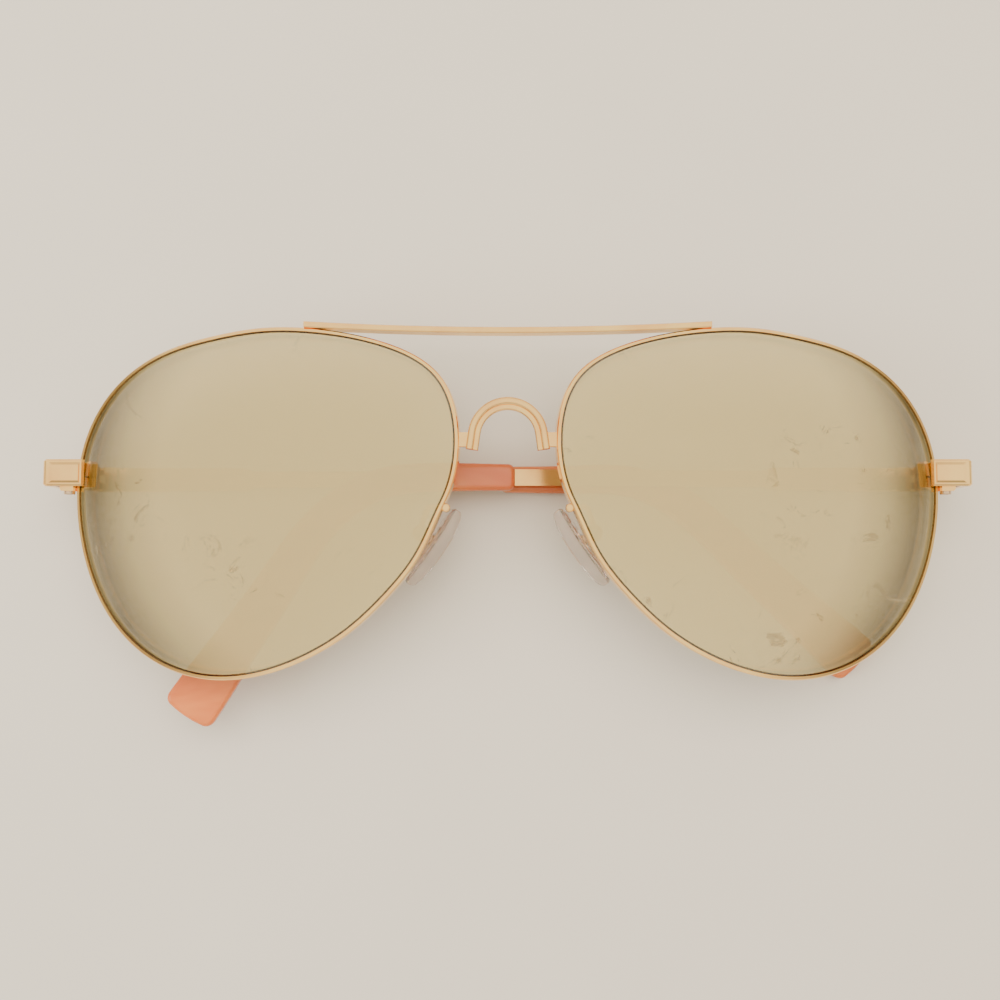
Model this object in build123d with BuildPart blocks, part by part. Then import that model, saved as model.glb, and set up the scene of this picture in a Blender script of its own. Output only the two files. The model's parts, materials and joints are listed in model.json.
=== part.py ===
"""Aviator sunglasses, folded and lying lens side up on a table.

Millimetres and degrees. +X runs to the wearer's left, +Y to the brow and +Z out of the lenses. The
table is z = 0. The right temple lies flat on it, and the left temple is folded over the right one.
Each piece of the front is drawn on the wearer's right, the -X side, and mirrored to the left.
"""

import os
from math import cos, degrees, radians, sin

from build123d import *

# Lenses: twenty radii of the outline, from the nose side round past the brow, each 18 degrees on
lens_radii = [28.0, 31.4, 33.0, 30.2, 27.6, 26.6, 26.8, 28.6, 30.3, 30.6]
lens_radii += [29.9, 29.6, 29.8, 29.4, 27.9, 25.9, 24.4, 23.8, 24.1, 25.6]
lens_x = 38.2  # from the middle of the frame to a lens's centre
lens_y = 3.7
lens_z = 20.0
lens_curve = 100.0  # the radius that the lenses and rims follow
wrap = 6.3  # how far each lens turns towards the temple
lens_thick = 1.5
lens_edge = 0.3  # the bevel ground round each face
fit = 0.03  # play between pieces that are set into each other

# Rims: wire with a groove that the lens's edge sits in
rim_thick = 1.8
rim_wide = 0.6  # outwards from the lens outline
rim_edge = 0.18
groove_deep = 0.3
groove_thick = 0.5
rim_split = 0.3

# Bridge, top bar and lugs
arch_outer = 6.15
arch_y = lens_y + 9.9
arch_z = 18.4
arch_flare = 8.0  # how far each leg turns outwards
arch_leg = 2.65
ridge_wide = 1.16
lip_wide = 1.0
lug_y = lens_y + 9.5
bar_half_length = 31.6
bar_y = lens_y + 27.5
bar_dip = 0.9
bar_tall = 0.95
bar_z = 16.0
bar_deep = 2.2

# End pieces and closing blocks
temple_y = lens_y + 4.8
end_x = 72.8
end_inner_x = 66.6
end_top = 15.0
end_plate = 1.2
end_tall = 4.2
bend_radius = 0.9
panel_frame = 0.5
panel_deep = 0.25
arm_thick = 1.7
block_x = 70.4
block_bottom = 10.8
lock_x = 69.4
lock_z = 12.4
lock_r = 0.5

# Temple hinges
hinge_x = 69.7
hinge_z = 3.1
hinge_tall = 4.0
knuckle_r = 1.3
knuckle_gap = 0.08
hinge_screw_r = 0.55
play = 0.05  # radial play of a screw in a knuckle that turns on it
leaf_seat = end_x - arm_thick - hinge_x  # from the pin's axis to the face a leaf is soldered on
leaf_thick = 0.6
leaf_length = 3.8

# Temples, measured along their length from the hinge pin
temple_length = 139.2
sleeve_start = 68.5
sleeve_thick = 2.8
sleeve_edge = 0.8
mouth_round = 1.2
tip_round = 1.5
bar_thick = 1.1
core_end = 127.0
ear_radius = 22.0
bend_start = {"right": 86.5, "left": 83.5}
bend_angle = {"right": 43.0, "left": 56.0}
left_tilt = 3.45  # the left temple lies over the right one

# Nose pads and their arms
rock_point = (-13.8, lens_y - 4.5, 11.0)  # where a pad's screw crosses its tab
pad_lean = 34.0
pad_splay = 5.0
pad_long = 14.2
pad_wide = 7.2
pad_thick = 2.7
pad_back = 1.6  # from the screw's axis to the pad's back
box_r = 1.35
box_long = 3.0
tab_thick = 1.2
pad_screw_r = 0.4
arm_r = 0.45

turn = radians(wrap)
lens_plane = Plane(
    origin=(-lens_x, lens_y, lens_z), x_dir=(cos(turn), 0, sin(turn)), z_dir=(-sin(turn), 0, cos(turn))
)
curve_centre = lens_plane.origin - lens_plane.z_dir * lens_curve

lean = radians(pad_lean)
pad_out = Vector(-cos(lean), sin(lean), 0) * cos(radians(pad_splay)) + Vector(0, 0, sin(radians(pad_splay)))
pad_down = Vector(-sin(lean), -cos(lean), 0)
pad_plane = Plane(origin=rock_point, x_dir=pad_down, z_dir=pad_out)
screw_plane = Plane(origin=rock_point, x_dir=pad_down, z_dir=pad_out.cross(pad_down))

os.makedirs("parts", exist_ok=True)


def write(name, part):
    """Labels a piece and writes it as one STEP file."""
    part.label = name
    export_step(part, f"parts/{name}.step")


def other_side(part):
    """The same piece on the wearer's left."""
    with BuildPart() as twin:
        add(part)
        mirror(about=Plane.YZ, mode=Mode.REPLACE)
    return twin.part


def write_pair(name, part):
    """Writes a piece of the wearer's right, and its mirror image for the left."""
    write(f"right_{name}", part)
    write(f"left_{name}", other_side(part))


def outline(grow):
    """Points of the lens outline, moved out by grow, on the lens plane."""
    step = 360 / len(lens_radii)
    return [
        ((r + grow) * cos(radians(i * step)), (r + grow) * sin(radians(i * step)))
        for i, r in enumerate(lens_radii)
    ]


def prism(grow):
    """A column of the lens outline, square to the lens plane."""
    with BuildPart() as column:
        with BuildSketch(lens_plane.offset(-9)):
            with BuildLine():
                Spline(*outline(grow), periodic=True)
            make_face()
        extrude(amount=13)
    return column.part


def curved_slab(grow, thick):
    """A slab of the lens outline that follows the lens curve."""
    column = prism(grow)
    with BuildPart() as slab:
        add(column)
        with Locations(curve_centre):
            Sphere(lens_curve + thick / 2, rotation=(90, 0, 0), mode=Mode.INTERSECT)
            Sphere(lens_curve - thick / 2, rotation=(90, 0, 0), mode=Mode.SUBTRACT)
    return slab.part


def bevelled_slab(grow, thick, bevel):
    """A curved slab with a bevel along the edge of both faces."""
    plain = curved_slab(grow, thick)
    with BuildPart() as slab:
        add(plain)
        chamfer(slab.edges().sort_by(SortBy.LENGTH)[-2:], bevel)
    return slab.part


def make_lens():
    body = bevelled_slab(-fit, lens_thick, lens_edge)
    tongue = curved_slab(groove_deep - fit, groove_thick - 2 * fit)
    with BuildPart() as lens:
        add(body)
        add(tongue)
    return lens.part


def make_rim():
    body = bevelled_slab(rim_wide, rim_thick, rim_edge)
    opening = prism(0)
    groove = curved_slab(groove_deep, groove_thick)
    with BuildPart() as rim:
        add(body)
        add(opening, mode=Mode.SUBTRACT)
        add(groove, mode=Mode.SUBTRACT)
        with Locations((-lens_x - 30, split_y, lock_z)):
            Box(6, rim_split, 6, mode=Mode.SUBTRACT)
    return rim.part


def make_block(low, high, hole_r):
    """One half of the block that closes the rim round its lens, from y = low to y = high."""
    with BuildPart() as block:
        with BuildSketch(Plane.XZ.offset(-low)):
            with Locations(((-block_x - 67) / 2, (block_bottom + end_top - end_plate) / 2)):
                Rectangle(block_x - 67, end_top - end_plate - block_bottom)
        extrude(amount=low - high)
        chamfer(block.edges().filter_by(Axis.Z).group_by(Axis.X)[0], 0.25)
        add(rim_column, mode=Mode.SUBTRACT)
        with BuildSketch(Plane.XZ.offset(-low)):
            with Locations((-lock_x, lock_z)):
                Circle(hole_r)
        extrude(amount=low - high, mode=Mode.SUBTRACT)
    return block.part


def make_screw(centre, shank_r, shank, head_r, head, upwards, slot=0.25):
    """A slotted screw along Y from its head's seat at centre, pointing up or down the Y axis."""
    seat = Plane(origin=centre, x_dir=(1, 0, 0), z_dir=(0, upwards, 0))
    with BuildPart() as screw:
        with BuildSketch(seat):
            Circle(shank_r)
        extrude(amount=shank)
        with BuildSketch(seat):
            Circle(head_r)
        extrude(amount=-head)
        fillet(screw.faces().sort_by(Axis.Y)[0 if upwards > 0 else -1].edges(), head / 3)
        with BuildSketch(seat.offset(-head)):
            Rectangle(2 * head_r, slot)
        extrude(amount=head / 2, mode=Mode.SUBTRACT)
    return screw.part


def make_end_piece():
    """The bent strip from the rim round the corner to the hinge, with a framed panel on its face."""
    with BuildPart() as strip:
        with BuildSketch(Plane.XZ.offset(-temple_y)):
            with BuildLine():
                Polyline(
                    (-end_inner_x, end_top),
                    (-end_x, end_top),
                    (-end_x, hinge_z),
                    (-end_x + arm_thick, hinge_z),
                    (-end_x + arm_thick, end_top - end_plate),
                    (-end_inner_x, end_top - end_plate),
                    close=True,
                )
            make_face()
        extrude(amount=end_tall / 2, both=True)
        corner = strip.edges().filter_by(Axis.Y).group_by(Axis.X)[0].sort_by(Axis.Z)[-1]
        fillet(corner, bend_radius)
        chamfer(strip.faces().sort_by(Axis.Z)[-1].edges().filter_by(Axis.X), 0.3)
        with BuildSketch(Plane.XY.offset(end_top)):
            with Locations(((bend_radius - end_x - end_inner_x) / 2, temple_y)):
                Rectangle(end_x - end_inner_x - bend_radius - panel_frame, end_tall - 2 * panel_frame)
        extrude(amount=-panel_deep, taper=55, mode=Mode.SUBTRACT)
    return strip.part


def make_hinge(along, out, own, hole_r):
    """Half of a three-knuckle hinge. Its leaf runs along one way from the pin, and lies out from it.

    own lists which of the three knuckles, counted from below, belong to this half.
    """
    pitch = (hinge_tall + knuckle_gap) / 3
    web = [(0, leaf_seat), (leaf_length, leaf_seat), (leaf_length, leaf_seat - leaf_thick)]
    web += [(1.9, leaf_seat - leaf_thick), (0.95, -0.6), (0, 0)]
    strip = [(1.6, leaf_seat), (leaf_length, leaf_seat)]
    strip += [(leaf_length, leaf_seat - leaf_thick), (1.6, leaf_seat - leaf_thick)]
    along, out = Vector(*along), Vector(*out)
    with BuildPart() as half:
        for knuckle in range(3):
            low = temple_y - hinge_tall / 2 + knuckle * pitch
            normal = along.cross(out)
            base = Plane(origin=(-hinge_x, low, hinge_z), x_dir=along, z_dir=normal)
            tall = (pitch - knuckle_gap) * normal.Y
            with BuildSketch(base):
                if knuckle in own:
                    Circle(knuckle_r)
                    Polygon(*web, align=None)
                    Circle(hole_r, mode=Mode.SUBTRACT)
                else:
                    Polygon(*strip, align=None)
            extrude(amount=tall)
        low = temple_y - hinge_tall / 2
        spine = Plane(origin=(-hinge_x, low, hinge_z), x_dir=along, z_dir=normal)
        with BuildSketch(spine):
            Polygon(*strip, align=None)
        extrude(amount=hinge_tall * normal.Y)
    return half.part


def centreline(side, s):
    """Where the temple's middle line is at length s from the pin, and its heading, flat on the table."""
    start, angle = bend_start[side], radians(bend_angle[side])
    if s <= start:
        return s, 0.0, 0.0
    turned = min((s - start) / ear_radius, angle)
    rest = max(s - start - ear_radius * angle, 0.0)
    x = start + ear_radius * sin(turned) + rest * cos(turned)
    y = -ear_radius * (1 - cos(turned)) - rest * sin(turned)
    return x, y, turned


def edge_point(side, s, away):
    """A point beside the temple's middle line, away above it, or below where away is negative."""
    x, y, heading = centreline(side, s)
    return x + away * sin(heading), y + away * cos(heading)


def temple_face(side, stations, half_width):
    """A face round the middle line between two smooth edges, through the stations along it."""
    upper = [edge_point(side, s, half_width(s)) for s in stations]
    lower = [edge_point(side, s, -half_width(s)) for s in stations]
    tip = edge_point(side, stations[-1] + 0.12 * half_width(stations[-1]), 0)
    first, last = centreline(side, stations[0])[2], centreline(side, stations[-1])[2]
    ends = [(cos(first), -sin(first)), (cos(last), -sin(last))]
    with BuildSketch() as face:
        with BuildLine():
            Spline(*upper, tangents=ends)
            ThreePointArc(upper[-1], tip, lower[-1])
            Spline(*lower, tangents=ends)
            Line(lower[0], upper[0])
        make_face()
    return face.sketch


def core_width(s):
    return 0.9


def sleeve_width(s):
    """Half the sleeve's width: slim at its mouth and broad at the tip."""
    return 2.2 + 2.1 * ((s - sleeve_start) / (temple_length - sleeve_start)) ** 1.5


def temple_base(height):
    """The right temple's own plane, from its hinge pin, at a height above the table."""
    return Plane(origin=(-hinge_x, temple_y, height), x_dir=(1, 0, 0), z_dir=(0, 0, 1))


def bar_stations(end):
    """Even steps along a temple, from the sleeve's mouth to an end."""
    count = 7
    return [sleeve_start + (end - sleeve_start) * i / (count - 1) for i in range(count)]


def make_temple_bar(side):
    """The stamped temple: hinge block, flat, slim bar, and the core wire inside the sleeve."""
    low = (sleeve_thick - bar_thick) / 2
    flat = [(leaf_length + 1, -1.9), (25, -1.9), (27, -1.35), (sleeve_start, -1.35)]
    flat += [(s, -half) for s, half in reversed(flat)]
    core = temple_face(side, bar_stations(core_end), core_width)
    with BuildPart() as bar:
        with BuildSketch(temple_base(0)):
            Polygon((0.06, -2), (12, -2), (14.5, 2), (0.06, 2), align=None)
        extrude(amount=arm_thick)
        chamfer(bar.faces().sort_by(Axis.Z)[-1].edges().filter_by(Axis.X), 0.35)
        with BuildSketch(temple_base(low)):
            Polygon(*flat, align=None)
        extrude(amount=bar_thick)
        with BuildSketch(temple_base(low)):
            add(core)
        extrude(amount=bar_thick)
    return bar.part


def make_sleeve(side):
    low = (sleeve_thick - bar_thick) / 2
    outside = temple_face(side, bar_stations(temple_length), sleeve_width)
    cavity = temple_face(side, bar_stations(core_end + 0.3), lambda s: core_width(s) + fit)
    with BuildPart() as sleeve:
        with BuildSketch(temple_base(0)) as shape:
            add(outside)
            fillet(shape.vertices().sort_by(Axis.X)[:2], mouth_round)
            fillet(shape.vertices().sort_by(Axis.X)[-2:], tip_round)
        extrude(amount=sleeve_thick)
        fillet(sleeve.faces().filter_by(Axis.Z).edges(), sleeve_edge)
        with BuildSketch(temple_base(low - fit)):
            add(cavity)
        extrude(amount=bar_thick + 2 * fit, mode=Mode.SUBTRACT)
    return sleeve.part


def folded(side, part):
    """Sets a temple piece, drawn for the right, on its own side in the folded pose."""
    if side == "right":
        return part
    pin = Pos(hinge_x, temple_y, hinge_z)
    return pin * Rot(0, left_tilt, 0) * pin.inverse() * other_side(part)


def make_pad_arm():
    """The wire from the rim to the pad, with a solder foot at one end and a slotted box at the other."""
    foot = (-9.4, lens_y - 1.0)
    with BuildPart() as arm:
        with BuildSketch(Plane.XY.offset(17.9)):
            with Locations(foot):
                Circle(0.65)
        extrude(amount=1.9)
        fillet(arm.edges().group_by(Axis.Z)[-1], 0.3)
        add(rim_column, mode=Mode.SUBTRACT)
        with BuildLine() as route:
            FilletPolyline(
                (*foot, 18.2),
                (-9.4, lens_y - 0.6, 15.2),
                (-12.6, lens_y - 0.4, 12.2),
                (-13.7, lens_y - 3.4, 11.0),
                radius=1.2,
            )
        with BuildSketch(Plane(origin=route.line @ 0, z_dir=route.line % 0)):
            Circle(arm_r)
        sweep(path=route.line)
        with BuildSketch(screw_plane.offset(-box_long / 2)):
            Circle(box_r)
        extrude(amount=box_long)
        with BuildSketch(screw_plane.offset(-tab_thick / 2 - play)):
            with Locations((0, 0.4)):
                Rectangle(1.9, 2.8)
        extrude(amount=tab_thick + 2 * play, mode=Mode.SUBTRACT)
        with BuildSketch(screw_plane.offset(-box_long / 2)):
            Circle(pad_screw_r + 0.01)
        extrude(amount=box_long, mode=Mode.SUBTRACT)
    return arm.part


def make_pad_screw():
    with BuildPart() as screw:
        with BuildSketch(screw_plane.offset(-box_long / 2)):
            Circle(pad_screw_r)
        extrude(amount=box_long)
        with BuildSketch(screw_plane.offset(box_long / 2)):
            Circle(0.8)
        extrude(amount=0.35)
        with BuildSketch(screw_plane.offset(box_long / 2 + 0.15)):
            Rectangle(2, 0.22, rotation=40)
        extrude(amount=0.4, mode=Mode.SUBTRACT)
    return screw.part


def make_pad_insert(grow, hole_r):
    """The metal tab that the screw goes through, and the plate that it carries inside the pad."""
    with BuildPart() as insert:
        with BuildSketch(screw_plane.offset(-tab_thick / 2 - grow)):
            with Locations((0, 1.1)):
                Rectangle(1.4 + 2 * grow, 2.2)
            Circle(0.85 + grow)
            if hole_r:
                Circle(hole_r, mode=Mode.SUBTRACT)
        extrude(amount=tab_thick + 2 * grow)
        with BuildSketch(pad_plane.offset(-2.7 - grow)):
            with Locations((0.5, 0)):
                RectangleRounded(5.4 + 2 * grow, 3.2 + 2 * grow, 1.2)
        extrude(amount=0.6 + 2 * grow)
    return insert.part


def make_nose_pad():
    pocket = make_pad_insert(fit, 0)
    with BuildPart() as pad:
        with BuildSketch(pad_plane.offset(-pad_back - pad_thick)):
            with Locations((0.8, 0)):
                RectangleRounded(pad_long, pad_wide, 3.4)
        extrude(amount=pad_thick)
        fillet(pad.edges().filter_by(Plane(origin=(0, 0, 0), z_dir=pad_out)), 0.9)
        add(pocket, mode=Mode.SUBTRACT)
    return pad.part


def make_arch():
    """The bridge: a round ridge over a lower lip, bent into an arch with two short legs."""
    flare = radians(arch_flare)
    foot = Plane(
        origin=(0, arch_y, 0), x_dir=(cos(flare), sin(flare), 0), z_dir=(sin(flare), -cos(flare), 0)
    )
    with BuildPart() as arch:
        with BuildSketch(foot):
            with Locations((arch_outer - ridge_wide / 2, arch_z)):
                RectangleRounded(ridge_wide, 1.7, 0.5)
            with Locations((arch_outer - 0.93 - lip_wide / 2, arch_z - 0.25)):
                RectangleRounded(lip_wide, 1.1, 0.3)
        revolve(axis=Axis((0, arch_y, 0), (0, 0, 1)), revolution_arc=90 - arch_flare)
        extrude(arch.faces().sort_by(Axis.Y)[0], amount=arch_leg)
        mirror(about=Plane.YZ)
    return arch.part


def make_lug(arch):
    """The small block that joins a leg of the bridge to the rim."""
    with BuildPart() as lug:
        with Locations((-arch_outer - 1, lug_y, arch_z)):
            Box(3, 2.2, 0.9)
        add(rim_column, mode=Mode.SUBTRACT)
        add(arch, mode=Mode.SUBTRACT)
    return lug.part


def make_top_bar():
    half, tall = bar_half_length, bar_tall / 2
    left_column = other_side(rim_column)
    with BuildPart() as bar:
        with BuildSketch(Plane.XY.offset(bar_z)):
            with BuildLine():
                for edge in (-tall, tall):
                    y = bar_y + edge
                    ThreePointArc((-half, y), (0, y - bar_dip), (half, y))
                Line((-half, bar_y - tall), (-half, bar_y + tall))
                Line((half, bar_y - tall), (half, bar_y + tall))
            make_face()
        extrude(amount=bar_deep)
        chamfer(bar.edges().group_by(Axis.Z)[-1], 0.15)
        add(rim_column, mode=Mode.SUBTRACT)
        add(left_column, mode=Mode.SUBTRACT)
    return bar.part


split_y = temple_y - 0.3
block_low = temple_y - end_tall / 2 - 0.7
block_high = temple_y + end_tall / 2 - 0.2
rim_column = prism(rim_wide)
bridge = make_arch()

write("top_bar", make_top_bar())
write("bridge", bridge)
write_pair("bridge_lug", make_lug(bridge))
write_pair("rim", make_rim())
write_pair("lens", make_lens())
write_pair("end_piece", make_end_piece())
write_pair("rim_lock_upper", make_block(split_y + rim_split / 2, block_high, lock_r + 0.01))
write_pair("rim_lock_lower", make_block(block_low, split_y - rim_split / 2, lock_r + 0.01))
write_pair("rim_lock_screw", make_screw((-lock_x, block_low, lock_z), lock_r, 3.9, 0.85, 0.5, 1))
write_pair("front_hinge", make_hinge((0, 0, 1), (-1, 0, 0), (0, 2), hinge_screw_r + 0.01))
hinge_top = temple_y + hinge_tall / 2
write_pair("hinge_screw", make_screw((-hinge_x, hinge_top, hinge_z), hinge_screw_r, hinge_tall, 1.0, 0.55, -1))
write_pair("pad_arm", make_pad_arm())
write_pair("pad_screw", make_pad_screw())
write_pair("pad_insert", make_pad_insert(0, pad_screw_r + play))
write_pair("nose_pad", make_nose_pad())

for side in ("right", "left"):
    write(f"{side}_temple_hinge", folded(side, make_hinge((1, 0, 0), (0, 0, -1), (1,), hinge_screw_r + play)))
    write(f"{side}_temple_bar", folded(side, make_temple_bar(side)))
    write(f"{side}_temple_sleeve", folded(side, make_sleeve(side)))
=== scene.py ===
"""Looks for the folded aviator sunglasses: plated metal, mirrored lenses, coral sleeves and clear pads."""

import json
import math

import bmesh
import bpy
from bpy.props import FloatProperty, FloatVectorProperty, PointerProperty
from bpy.types import Operator, Panel, PropertyGroup
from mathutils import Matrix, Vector


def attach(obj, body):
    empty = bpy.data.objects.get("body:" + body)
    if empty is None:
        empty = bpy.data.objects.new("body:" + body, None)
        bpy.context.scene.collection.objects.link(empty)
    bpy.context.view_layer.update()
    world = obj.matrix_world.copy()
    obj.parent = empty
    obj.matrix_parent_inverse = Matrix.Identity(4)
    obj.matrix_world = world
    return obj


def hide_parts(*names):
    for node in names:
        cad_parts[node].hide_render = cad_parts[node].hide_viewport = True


bl_info = {
    "name": "Aviator sunglasses",
    "version": (1, 0, 0),
    "blender": (4, 5, 0),
    "location": "3D View > Sidebar > Sunglasses",
    "description": "Finishes and soft nose pads for folded aviator sunglasses",
    "category": "Object",
}

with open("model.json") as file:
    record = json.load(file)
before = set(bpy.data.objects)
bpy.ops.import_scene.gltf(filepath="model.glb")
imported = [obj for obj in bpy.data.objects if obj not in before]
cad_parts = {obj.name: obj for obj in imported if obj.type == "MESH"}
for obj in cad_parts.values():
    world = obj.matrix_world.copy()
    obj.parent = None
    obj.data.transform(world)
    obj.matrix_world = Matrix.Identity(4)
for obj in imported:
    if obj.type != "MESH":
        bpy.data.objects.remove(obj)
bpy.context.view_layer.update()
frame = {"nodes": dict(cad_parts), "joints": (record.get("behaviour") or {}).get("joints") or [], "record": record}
MM = 0.001
SIDES = ("left", "right")
PAD_STATIONS = 90  # rings along a nose pad
PAD_POINTS = 48  # points round each ring
FLOOR_REACH = 1.5  # from the middle of the floor to its edges, in metres
SKY_STRENGTH = 1.75
CAMERA_PLACE = (-1.2 * MM, -6.1 * MM, 170.9 * MM)
CAMERA_TILT = math.radians(3.77)


def linear(code):
    """A colour for a shader, from its sRGB hex code."""
    channels = [int(code[i:i + 2], 16) / 255 for i in (1, 3, 5)]
    return [c / 12.92 if c <= 0.04045 else ((c + 0.055) / 1.055) ** 2.4 for c in channels]


def colour_prop(name, description, code):
    return FloatVectorProperty(
        name=name, description=description, default=linear(code), subtype="COLOR", size=3, min=0, max=1
    )


def length_prop(name, description, millimetres):
    return FloatProperty(name=name, description=description, default=millimetres * MM, unit="LENGTH", min=0)


def angle_prop(name, description, degrees):
    return FloatProperty(name=name, description=description, default=math.radians(degrees), subtype="ANGLE")


class MetalSettings(PropertyGroup):
    plating: colour_prop("Plating", "Colour of the rose gold plating", "#FFD68A")
    worn: colour_prop("Worn plating", "Colour where fingers have dulled the plating", "#F8C47C")
    screws: colour_prop("Screws", "Colour of the turned screws", "#E6C9A8")


class LensSettings(PropertyGroup):
    mirror: colour_prop("Mirror", "Colour of the mirror coating", "#E0CE98")
    film: colour_prop("Film", "Colour of dried marks on the coating", "#8E7350")
    # Colour of the painted shade that lines the lens along the rim
    rim_shade_colour: colour_prop("Painted rim shade", "Colour of the painted shade along the rim", "#2E1E12")
    shade: length_prop("Edge shade", "How far from the rim the lens looks dark", 0.7)
    see_through: FloatProperty(
        name="See-through", description="Share of light that passes the coating", default=0.36, min=0, max=1,
        subtype="FACTOR"
    )


class SleeveSettings(PropertyGroup):
    coral: colour_prop("Coral", "Colour of the translucent acetate", "#EC8C46")
    deep: colour_prop("Deep coral", "Colour of the darker streaks in the acetate", "#CA612B")


class PadSettings(PropertyGroup):
    silicone: colour_prop("Silicone", "Colour of the clear silicone", "#FAF1EA")
    length: length_prop("Pad length", "Length of a nose pad", 14.2)
    width: length_prop("Pad width", "Width of a nose pad", 7.2)
    thick: length_prop("Pad thickness", "Thickness of a nose pad at its middle", 3.0)
    back: length_prop("Pad back", "Distance from the pad's screw to the pad's back", 1.6)
    ahead: length_prop("Pad offset", "How far the pad's middle lies below its screw", 0.8)
    ribs: length_prop("Rib spacing", "Distance between the ribs moulded in a pad's back", 1.5)
    lean: angle_prop("Lean", "Angle of a pad to the middle line, seen from the front", 34)
    splay: angle_prop("Splay", "Angle by which a pad opens towards the face", 10)


class StageSettings(PropertyGroup):
    floor: colour_prop("Floor", "Colour of the plain floor", "#CBC6BD")
    ceiling: colour_prop("Ceiling", "Colour of the soft light from above", "#FFF3DC")
    lamp_width: length_prop("Lamp width", "Width of the soft box above the glasses", 900)


class SunglassesSettings(PropertyGroup):
    metal: PointerProperty(type=MetalSettings)
    lens: PointerProperty(type=LensSettings)
    sleeve: PointerProperty(type=SleeveSettings)
    pad: PointerProperty(type=PadSettings)
    stage: PointerProperty(type=StageSettings)


def new_material(name):
    """An empty node material and its principled shader, joined to the output."""
    material = bpy.data.materials.new(name)
    material.use_nodes = True
    tree = material.node_tree
    tree.nodes.clear()
    shader = add_node(tree, "ShaderNodeBsdfPrincipled")
    add_node(tree, "ShaderNodeOutputMaterial", {}, {"Surface": shader.outputs["BSDF"]})
    return material, tree, shader


def add_node(tree, kind, settings=None, inputs=None):
    """Adds a node. A setting is an attribute, and an input is a value or the output it is linked to."""
    node = tree.nodes.new(kind)
    for key, value in (settings or {}).items():
        setattr(node, key, value)
    for key, value in (inputs or {}).items():
        set_input(tree, node, key, value)
    return node


def set_input(tree, node, key, value):
    if isinstance(value, bpy.types.NodeSocket):
        tree.links.new(value, node.inputs[key])
    else:
        node.inputs[key].default_value = value


def set_shader(tree, shader, **inputs):
    for key, value in inputs.items():
        set_input(tree, shader, key.replace("_", " "), value)


def ramp(tree, value, *stops):
    """A colour ramp over a value, through (position, colour) stops."""
    node = add_node(tree, "ShaderNodeValToRGB", {}, {"Fac": value})
    while len(node.color_ramp.elements) < len(stops):
        node.color_ramp.elements.new(0.5)
    for element, (position, colour) in zip(node.color_ramp.elements, stops):
        element.position = position
        element.color = (*colour, 1)
    return node.outputs["Color"]


def grey(level):
    return level, level, level


def mix_colour(tree, share, first, second):
    """A colour between two, each given as a colour or as an output."""
    ends = [c if isinstance(c, bpy.types.NodeSocket) else (*c, 1) for c in (first, second)]
    mix = add_node(tree, "ShaderNodeMix", {"data_type": "RGBA"}, {0: share, 6: ends[0], 7: ends[1]})
    return mix.outputs[2]


def plated_metal(settings):
    """Polished rose gold plate over stamped wire. The eye sees clear reflections, dulled here and there."""
    material, tree, shader = new_material("Rose gold plate, polished")
    place = add_node(tree, "ShaderNodeTexCoord").outputs["Object"]
    touch = add_node(tree, "ShaderNodeTexNoise", {}, {"Vector": place, "Scale": 1 / (6 * MM), "Detail": 3})
    grain = add_node(tree, "ShaderNodeTexNoise", {}, {"Vector": place, "Scale": 1 / (0.35 * MM), "Detail": 4})
    colour = ramp(tree, touch.outputs["Fac"], (0.35, settings.plating), (0.75, settings.worn))
    rough = ramp(tree, touch.outputs["Fac"], (0.35, grey(0.10)), (0.70, grey(0.22)))
    bump = add_node(
        tree, "ShaderNodeBump", {}, {"Height": grain.outputs["Fac"], "Strength": 0.05, "Distance": 0.02 * MM}
    )
    set_shader(tree, shader, Base_Color=colour, Roughness=rough, Normal=bump.outputs["Normal"], Metallic=1.0)
    return material


def turned_metal(settings):
    """Turned and plated screws. A fine grain breaks up their colour, and they look duller than the plate."""
    material, tree, shader = new_material("Screw steel, turned and plated")
    place = add_node(tree, "ShaderNodeTexCoord").outputs["Object"]
    grain = add_node(tree, "ShaderNodeTexNoise", {}, {"Vector": place, "Scale": 1 / (0.15 * MM), "Detail": 2})
    colour = ramp(tree, grain.outputs["Fac"], (0.3, [0.75 * c for c in settings.screws]), (0.7, settings.screws))
    set_shader(tree, shader, Base_Color=colour, Metallic=1.0, Roughness=0.25)
    return material


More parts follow.
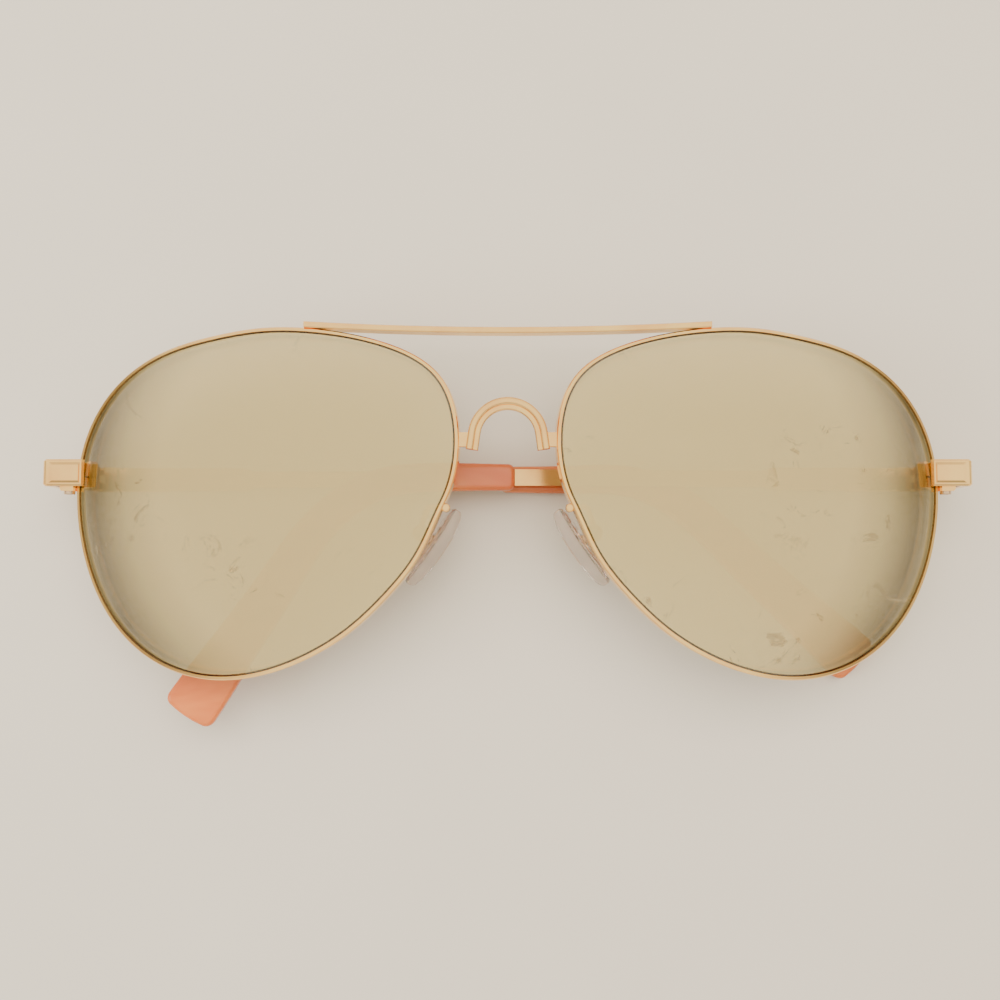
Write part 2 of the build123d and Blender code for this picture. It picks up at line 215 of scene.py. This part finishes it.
def mirror_coating(settings):
    """A gold mirror flash on tinted plastic. Wiped smears and dried marks dull it.

    Where an ambient occlusion test finds the rim close, the lens is painted dark and loses its metal look: a
    painted shade line along the rim.
    """
    material, tree, shader = new_material("Lens plastic, gold mirror flash")
    place = add_node(tree, "ShaderNodeTexCoord").outputs["Object"]
    wiped = add_node(
        tree, "ShaderNodeMapping", {}, {"Vector": place, "Rotation": (0, 0, 0.5), "Scale": (1, 2.6, 1)}
    )
    smear = add_node(
        tree, "ShaderNodeTexNoise", {},
        {"Vector": wiped.outputs["Vector"], "Scale": 1 / (16 * MM), "Detail": 5, "Distortion": 0.7}
    )
    marks = add_node(
        tree, "ShaderNodeTexNoise", {},
        {"Vector": place, "Scale": 1 / (5 * MM), "Detail": 8, "Roughness": 0.72, "Distortion": 1.1}
    )
    where = add_node(tree, "ShaderNodeTexNoise", {}, {"Vector": place, "Scale": 1 / (24 * MM), "Detail": 1})
    spots = ramp(tree, marks.outputs["Fac"], (0.585, grey(0)), (0.64, grey(1)))
    patches = ramp(tree, where.outputs["Fac"], (0.50, grey(0)), (0.60, grey(1)))
    dried = add_node(tree, "ShaderNodeMath", {"operation": "MULTIPLY"}, {0: spots, 1: patches}).outputs["Value"]
    faint = add_node(tree, "ShaderNodeMath", {"operation": "MULTIPLY"}, {0: dried, 1: 0.45}).outputs["Value"]
    tint = mix_colour(tree, faint, settings.mirror, settings.film)
    greasy = ramp(tree, smear.outputs["Fac"], (0.42, grey(0.02)), (0.75, grey(0.13)))
    rough = add_node(
        tree, "ShaderNodeMath", {"operation": "MULTIPLY_ADD"}, {0: dried, 1: 0.25, 2: greasy}
    ).outputs["Value"]
    # Painted shade: the lens turns dark and non-metal where ambient occlusion finds the rim near
    rim_occlusion = add_node(
        tree, "ShaderNodeAmbientOcclusion", {"samples": 8}, {"Distance": settings.shade}
    ).outputs["AO"]
    clear_of_rim_shade = ramp(tree, rim_occlusion, (0.60, grey(0)), (0.86, grey(1)))
    colour = mix_colour(tree, clear_of_rim_shade, settings.rim_shade_colour, tint)
    set_shader(
        tree, shader, Base_Color=colour, Metallic=clear_of_rim_shade, Roughness=rough, Alpha=1 - settings.see_through
    )
    return material


def coral_acetate(settings):
    """Tumbled, translucent acetate. Light goes a little way in, which softens the look of the edges."""
    material, tree, shader = new_material("Cellulose acetate, coral, tumbled")
    place = add_node(tree, "ShaderNodeTexCoord").outputs["Object"]
    streak = add_node(tree, "ShaderNodeMapping", {}, {"Vector": place, "Scale": (0.5, 1.4, 1)})
    cloud = add_node(
        tree, "ShaderNodeTexNoise", {},
        {"Vector": streak.outputs["Vector"], "Scale": 1 / (9 * MM), "Detail": 3, "Distortion": 0.5}
    )
    speck = add_node(tree, "ShaderNodeTexNoise", {}, {"Vector": place, "Scale": 1 / (0.8 * MM), "Detail": 3})
    colour = ramp(tree, cloud.outputs["Fac"], (0.35, settings.coral), (0.72, settings.deep))
    rough = ramp(tree, cloud.outputs["Fac"], (0.3, grey(0.12)), (0.7, grey(0.26)))
    bump = add_node(
        tree, "ShaderNodeBump", {}, {"Height": speck.outputs["Fac"], "Strength": 0.06, "Distance": 0.03 * MM}
    )
    set_shader(
        tree, shader, Base_Color=colour, Roughness=rough, Normal=bump.outputs["Normal"], IOR=1.48,
        Transmission_Weight=0.35, Subsurface_Weight=0.35, Subsurface_Scale=1.2 * MM,
        Subsurface_Radius=(1.0, 0.45, 0.3), Coat_Weight=0.2, Coat_Roughness=0.08
    )
    return material


def clear_silicone(settings):
    """Moulded clear silicone. It is slightly milky, and its skin is faintly uneven."""
    material, tree, shader = new_material("Silicone rubber, clear, moulded")
    place = add_node(tree, "ShaderNodeTexCoord").outputs["Object"]
    skin = add_node(tree, "ShaderNodeTexNoise", {}, {"Vector": place, "Scale": 1 / (0.6 * MM), "Detail": 4})
    film = add_node(tree, "ShaderNodeTexNoise", {}, {"Vector": place, "Scale": 1 / (4 * MM), "Detail": 2})
    colour = ramp(
        tree, film.outputs["Fac"], (0.35, settings.silicone), (0.75, [0.85 * c for c in settings.silicone])
    )
    bump = add_node(
        tree, "ShaderNodeBump", {}, {"Height": skin.outputs["Fac"], "Strength": 0.1, "Distance": 0.03 * MM}
    )
    set_shader(
        tree, shader, Base_Color=colour, Roughness=0.12, Normal=bump.outputs["Normal"], IOR=1.41,
        Transmission_Weight=0.9, Subsurface_Weight=0.1, Subsurface_Scale=1.0 * MM
    )
    return material


def finish_node(name, material):
    """Gives a CAD node its material."""
    node = frame["nodes"][name]
    node.data.materials.clear()
    node.data.materials.append(material)


def around(centre, along, across, through, stations, ring):
    """A closed mesh of rings. ring(t) gives (along, across, through) for each point, with t from -1 to 1."""
    shape = bmesh.new()
    loops = []
    for i in range(stations + 1):
        t = -math.cos(math.pi * i / stations)
        points = [centre + along * u + across * w + through * n for u, w, n in ring(t)]
        loops.append([shape.verts.new(point) for point in points])
    for first, second in zip(loops, loops[1:]):
        for j in range(len(first)):
            k = (j + 1) % len(first)
            shape.faces.new((first[j], first[k], second[k], second[j]))
    bmesh.ops.remove_doubles(shape, verts=shape.verts, dist=0.01 * MM)
    bmesh.ops.holes_fill(shape, edges=shape.edges)
    bmesh.ops.recalc_face_normals(shape, faces=shape.faces)
    return shape


def make_piece(name, shape, material, body):
    """A smooth object from a mesh in the making, riding on a body."""
    mesh = bpy.data.meshes.new(name)
    shape.to_mesh(mesh)
    shape.free()
    mesh.shade_smooth()
    mesh.materials.append(material)
    piece = bpy.data.objects.new(name, mesh)
    bpy.context.scene.collection.objects.link(piece)
    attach(piece, body)
    return piece


def rounded(value, power):
    """A signed power, which squares off a sine or cosine for power under 1."""
    return math.copysign(abs(value) ** power, value)


def pad_shape(side, settings):
    """A nose pad: a rounded, crowned slab whose ends curve back, with ribs across its back."""
    joint = next(j for j in frame["joints"] if j["name"] == f"{side}_pad_rock")
    out_x = 1 if side == "left" else -1
    lean, splay = settings.lean, settings.splay
    down = Vector((out_x * math.sin(lean), -math.cos(lean), 0))
    out = Vector((out_x * math.cos(lean), math.sin(lean), 0)) * math.cos(splay)
    out.z = math.sin(splay)
    centre = Vector(joint["pos_m"]) + down * settings.ahead - out * (settings.back + settings.thick / 2)
    half = Vector((settings.length, settings.width, settings.thick)) / 2
    bow = 0.12 * settings.thick

    def ring(t):
        end = max(0.0, 1 - abs(t) ** 3) ** (1 / 2.6)
        points = []
        for i in range(PAD_POINTS):
            a = 2 * math.pi * i / PAD_POINTS
            w = end * half.y * rounded(math.cos(a), 0.75)
            n = end ** 0.8 * half.z * rounded(math.sin(a), 0.7)
            u = t * half.x
            if n > 0:
                level = max(0.0, 1 - (w / (0.62 * half.y)) ** 4) * max(0.0, 1 - (t / 0.72) ** 6)
                n -= 0.16 * settings.thick * level * (0.5 - 0.5 * math.cos(2 * math.pi * u / settings.ribs))
            points.append((u, w, n + bow * (t * t - 0.4)))
        return points

    return around(centre, down, down.cross(out), out, PAD_STATIONS, ring)


def nodes_of(slot_name):
    """Names of the CAD nodes that the record gives a material slot."""
    return [part["node"] for part in frame["record"]["subparts"] if part["material_slot"] == slot_name]


class SUNGLASSES_OT_metal(Operator):
    """Plates the rims, bridge, bars, hinges and pad arms"""

    bl_idname = "sunglasses.metal"
    bl_label = "Plate the metal"

    def execute(self, context):
        settings = context.scene.sunglasses.metal
        plate = plated_metal(settings)
        steel = turned_metal(settings)
        for name in nodes_of("rose_gold_metal"):
            finish_node(name, plate)
        for name in nodes_of("screw_metal") + nodes_of("pad_metal"):
            finish_node(name, steel)
        return {"FINISHED"}


class SUNGLASSES_OT_lenses(Operator):
    """Gives the lenses their mirror coating"""

    bl_idname = "sunglasses.lenses"
    bl_label = "Coat the lenses"

    def execute(self, context):
        coating = mirror_coating(context.scene.sunglasses.lens)
        for side in SIDES:
            finish_node(f"{side}_lens", coating)
        return {"FINISHED"}


class SUNGLASSES_OT_sleeves(Operator):
    """Gives the temple sleeves their coral acetate"""

    bl_idname = "sunglasses.sleeves"
    bl_label = "Colour the sleeves"

    def execute(self, context):
        acetate = coral_acetate(context.scene.sunglasses.sleeve)
        for side in SIDES:
            finish_node(f"{side}_temple_sleeve", acetate)
        return {"FINISHED"}


class SUNGLASSES_OT_pads(Operator):
    """Moulds the nose pads in clear silicone"""

    bl_idname = "sunglasses.pads"
    bl_label = "Make the nose pads"

    def execute(self, context):
        settings = context.scene.sunglasses.pad
        silicone = clear_silicone(settings)
        for side in SIDES:
            shape = pad_shape(side, settings)
            pad = make_piece(f"{side}_pad_silicone", shape, silicone, f"{side}_pad")
            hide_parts(f"{side}_nose_pad")
        return {"FINISHED"}


def floor_material(settings):
    """Matt painted board. Only a faint mottle shows."""
    material, tree, shader = new_material("Painted board, matt")
    place = add_node(tree, "ShaderNodeTexCoord").outputs["Object"]
    mottle = add_node(tree, "ShaderNodeTexNoise", {}, {"Vector": place, "Scale": 1 / (40 * MM), "Detail": 3})
    colour = ramp(
        tree, mottle.outputs["Fac"], (0.3, [0.97 * c for c in settings.floor]), (0.7, settings.floor)
    )
    set_shader(tree, shader, Base_Color=colour, Roughness=0.7)
    return material


def add_lamp(name, place, aim, width, depth, power, colour):
    """A soft rectangular lamp at a place, turned to a point."""
    lamp = bpy.data.lights.new(name, "AREA")
    lamp.shape = "RECTANGLE"
    lamp.size = width
    lamp.size_y = depth
    lamp.energy = power
    lamp.color = colour
    holder = bpy.data.objects.new(name, lamp)
    holder.location = place
    holder.rotation_euler = (Vector(aim) - Vector(place)).to_track_quat("-Z", "Y").to_euler()
    holder.visible_glossy = False
    bpy.context.scene.collection.objects.link(holder)


def studio_light(settings):
    """Soft light all round, with one dim band between the walls and the ceiling for the metal to reflect."""
    world = bpy.data.worlds.new("studio")
    world.use_nodes = True
    tree = world.node_tree
    tree.nodes.clear()
    towards = add_node(tree, "ShaderNodeTexCoord").outputs["Generated"]
    split = add_node(tree, "ShaderNodeSeparateXYZ", {}, {"Vector": towards})
    height = add_node(
        tree, "ShaderNodeMath", {"operation": "MULTIPLY_ADD"},
        {0: split.outputs["Y"], 1: 0.16, 2: split.outputs["Z"]}
    ).outputs["Value"]
    ceiling = Vector(settings.ceiling)
    colour = ramp(
        tree, height, (0.0, 0.55 * ceiling), (0.2, 0.75 * ceiling), (0.30, 0.7 * ceiling), (0.42, 0.16 * ceiling),
        (0.55, 0.7 * ceiling), (0.66, 0.95 * ceiling), (1.0, ceiling)
    )
    light = add_node(tree, "ShaderNodeBackground", {}, {"Color": colour, "Strength": SKY_STRENGTH})
    add_node(tree, "ShaderNodeOutputWorld", {}, {"Surface": light.outputs["Background"]})
    return world


class SUNGLASSES_OT_stage(Operator):
    """Adds the floor, the soft lamps and the camera"""

    bl_idname = "sunglasses.stage"
    bl_label = "Set the stage"

    def execute(self, context):
        settings = context.scene.sunglasses.stage
        mesh = bpy.data.meshes.new("floor")
        shape = bmesh.new()
        bmesh.ops.create_grid(shape, x_segments=1, y_segments=1, size=FLOOR_REACH)
        shape.to_mesh(mesh)
        shape.free()
        floor = bpy.data.objects.new("floor", mesh)
        mesh.materials.append(floor_material(settings))
        context.scene.collection.objects.link(floor)

        width = settings.lamp_width
        warm = linear("#FFF1DF")
        add_lamp("soft box above", (0.0, 0.25, 0.75), (0, 0, 0), width, 0.6 * width, 9, warm)
        add_lamp("soft box left", (-0.6, -0.1, 0.35), (0, 0, 0), 0.4 * width, 0.4 * width, 3, linear("#FFFFFF"))

        context.scene.world = studio_light(settings)

        camera = bpy.data.cameras.new("camera")
        camera.sensor_width = 36
        camera.lens = 36.1
        viewer = bpy.data.objects.new("camera", camera)
        viewer.location = CAMERA_PLACE
        viewer.rotation_euler = (CAMERA_TILT, 0, 0)
        context.scene.collection.objects.link(viewer)
        context.scene.camera = viewer
        return {"FINISHED"}


class SUNGLASSES_PT_panel(Panel):
    bl_idname = "SUNGLASSES_PT_panel"
    bl_label = "Aviator sunglasses"
    bl_space_type = "VIEW_3D"
    bl_region_type = "UI"
    bl_category = "Sunglasses"

    def draw(self, context):
        settings = context.scene.sunglasses
        for operator in OPERATORS:
            self.layout.operator(operator.bl_idname)
        for group in (settings.metal, settings.lens, settings.sleeve, settings.pad, settings.stage):
            box = self.layout.box()
            for key in group.__annotations__:
                box.prop(group, key)


OPERATORS = (
    SUNGLASSES_OT_stage,
    SUNGLASSES_OT_metal,
    SUNGLASSES_OT_lenses,
    SUNGLASSES_OT_sleeves,
    SUNGLASSES_OT_pads,
)
CLASSES = (
    MetalSettings,
    LensSettings,
    SleeveSettings,
    PadSettings,
    StageSettings,
    SunglassesSettings,
    *OPERATORS,
    SUNGLASSES_PT_panel,
)


def register():
    for cls in CLASSES:
        bpy.utils.register_class(cls)
    bpy.types.Scene.sunglasses = PointerProperty(type=SunglassesSettings)


def unregister():
    del bpy.types.Scene.sunglasses
    for cls in reversed(CLASSES):
        bpy.utils.unregister_class(cls)


def main():
    register()
    bpy.ops.sunglasses.stage()
    bpy.ops.sunglasses.metal()
    bpy.ops.sunglasses.lenses()
    bpy.ops.sunglasses.sleeves()
    bpy.ops.sunglasses.pads()


if __name__ == "__main__":
    main()
